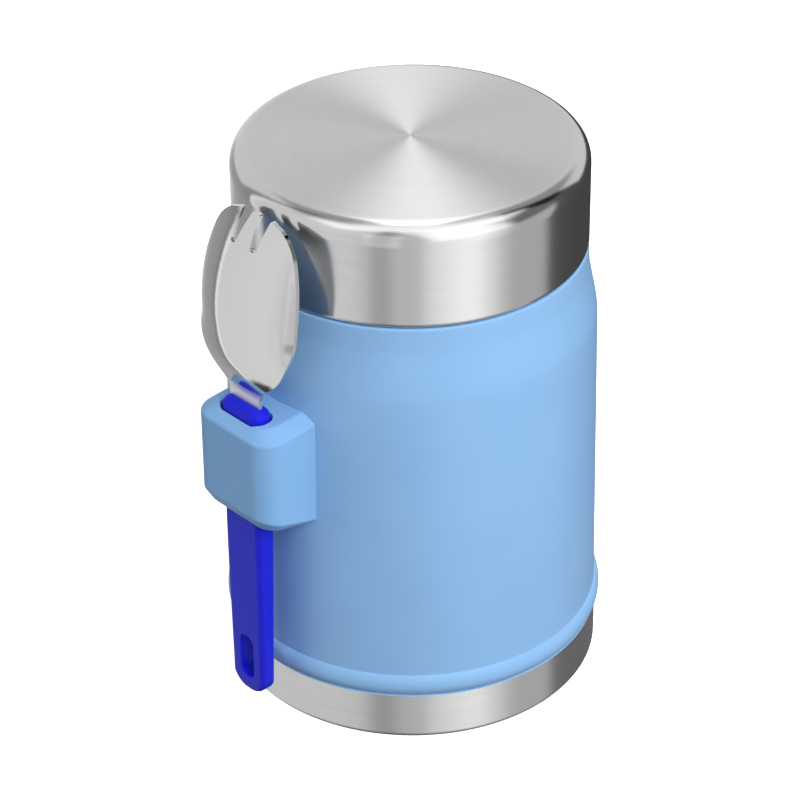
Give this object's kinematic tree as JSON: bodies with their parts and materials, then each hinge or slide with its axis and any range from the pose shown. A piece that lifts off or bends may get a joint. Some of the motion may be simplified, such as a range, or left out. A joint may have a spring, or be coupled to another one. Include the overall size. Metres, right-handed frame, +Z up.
{
  "type": "insulated food jar",
  "caption": "Vacuum food jar with a pale blue body, a brushed steel screw-on cup lid and a spork hung in a side holder.",
  "frame": {"origin": "on the jar's axis in the plane that the foot ring stands on", "axes": "+Z up along the jar's axis, -X towards the side holder and the spork, +Y completes the right-handed frame"},
  "size_m": [0.107, 0.0954, 0.1444],
  "materials": {
    "coated_steel": "satin powder coat",
    "brushed_steel": "brushed",
    "vessel_steel": "satin",
    "polished_steel": "mirror polished",
    "foil": "bright foil",
    "getter_alloy": "sintered",
    "seal_metal": "plain",
    "holder_plastic": "moulded satin",
    "handle_plastic": "moulded gloss",
    "cap_plastic": "moulded matt",
    "foam": "foamed",
    "silicone": "translucent silicone"
  },
  "bodies": {
    "jar": {"outer_shell": "coated_steel", "base_cup": "brushed_steel", "vacuum_bottom": "vessel_steel", "vacuum_seal": "seal_metal", "inner_vessel": "vessel_steel", "radiation_foil": "foil", "foil_disc": "foil", "getter": "getter_alloy", "holder": "holder_plastic", "holder_clip": "vessel_steel"},
    "stopper_seal": {"stopper_gasket": "silicone"},
    "stopper": {"stopper_body": "cap_plastic", "stopper_cover": "cap_plastic", "stopper_foam": "foam"},
    "lid_seal": {"lid_gasket": "silicone"},
    "lid": {"lid_shell": "brushed_steel", "lid_liner": "cap_plastic", "lid_foam": "foam"},
    "spork": {"spork_head": "polished_steel", "spork_handle": "handle_plastic"}
  },
  "joints": [
    {"name": "stopper_lift", "type": "slide", "parent": "jar", "child": "stopper_seal", "axis": [0, 0, 1], "range_m": [0, 0.07]},
    {"name": "stopper_turn", "type": "hinge", "parent": "stopper_seal", "child": "stopper", "pos_m": [0, 0, 0.131], "axis": [0, 0, 1], "range_deg": [0, 450]},
    {"name": "lid_rise", "type": "slide", "parent": "stopper", "child": "lid_seal", "axis": [0, 0, 1], "range_m": [0, 0.0075]},
    {"name": "lid_turn", "type": "hinge", "parent": "lid_seal", "child": "lid", "pos_m": [0, 0, 0.137], "axis": [0, 0, 1], "range_deg": [0, 450]},
    {"name": "spork_lift", "type": "slide", "parent": "jar", "child": "spork", "axis": [0, 0, 1], "range_m": [0, 0.09]}
  ],
  "couplings": [
    {"joint": "lid_rise", "follows": "lid_turn", "m_per_rad": 0.00095493}
  ]
}
